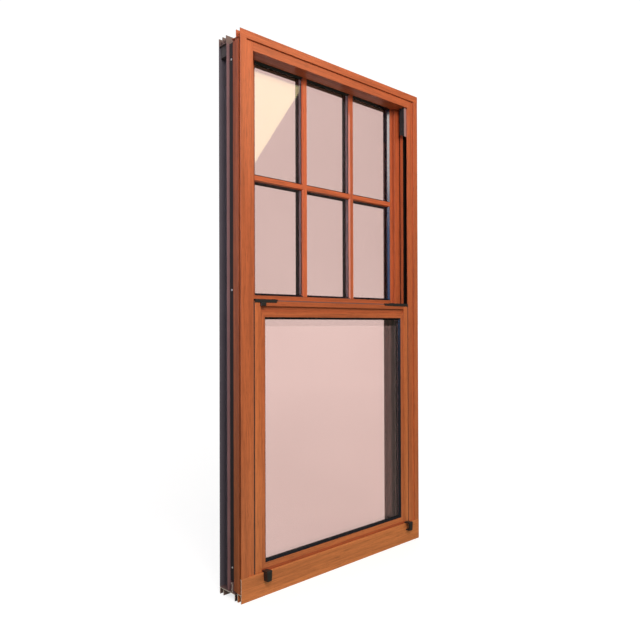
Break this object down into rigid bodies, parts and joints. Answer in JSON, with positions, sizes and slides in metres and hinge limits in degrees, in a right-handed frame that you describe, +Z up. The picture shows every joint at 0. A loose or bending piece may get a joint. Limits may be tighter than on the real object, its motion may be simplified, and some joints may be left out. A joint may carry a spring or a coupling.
{
  "type": "single-hung window",
  "caption": "Tall single-hung impact window in thermally broken aluminium: fixed upper lite with divider bars, lower sash with tilt latches and lift clips, wood-grain inside and bronze outside.",
  "frame": {"origin": "middle of the weather-side face of the sill's outer flange", "axes": "+X to the right as seen from the room, +Y from the room to the outside, +Z up"},
  "size_m": [0.914, 0.14, 1.836],
  "materials": {
    "woodgrain": "satin wood-grain powder coat on aluminium",
    "bronze": "satin dark bronze powder coat on aluminium",
    "polyamide": "matte black",
    "glass": "clear, polished",
    "spacer": "dark anodised",
    "gasket": "smooth black",
    "hardware": "moulded black",
    "pile": "woven pile"
  },
  "bodies": {
    "root": {"head_inner": "woodgrain", "sill_inner": "woodgrain", "left_jamb_inner": "woodgrain", "right_jamb_inner": "woodgrain", "upper_left_stile": "woodgrain", "upper_right_stile": "woodgrain", "upper_meeting_rail": "woodgrain", "left_divider_bar": "woodgrain", "right_divider_bar": "woodgrain", "cross_divider_bars": "woodgrain", "lower_left_stile": "woodgrain", "lower_right_stile": "woodgrain", "lower_top_rail": "woodgrain", "lower_bottom_rail": "woodgrain", "lower_glazing_beads": "woodgrain", "head_outer": "bronze", "sill_outer": "bronze", "left_jamb_outer": "bronze", "right_jamb_outer": "bronze", "upper_outer_stiles": "bronze", "upper_outer_meeting_rail": "bronze", "outer_divider_bars": "bronze", "lower_outer_stiles": "bronze", "lower_outer_rails": "bronze", "lower_outer_stop": "bronze", "frame_thermal_breaks": "polyamide", "upper_thermal_breaks": "polyamide", "lower_thermal_breaks": "polyamide", "upper_inner_pane": "glass", "upper_outer_pane": "glass", "lower_inner_pane": "glass", "lower_outer_pane": "glass", "upper_spacer": "spacer", "lower_spacer": "spacer", "divider_spacer_bars": "spacer", "upper_gaskets": "gasket", "lower_gaskets": "gasket", "left_tilt_latch": "hardware", "right_tilt_latch": "hardware", "left_lift_clip": "hardware", "right_lift_clip": "hardware", "right_sash_stop": "hardware", "corner_pads": "hardware", "weatherstrips": "pile"}
  },
  "joints": []
}
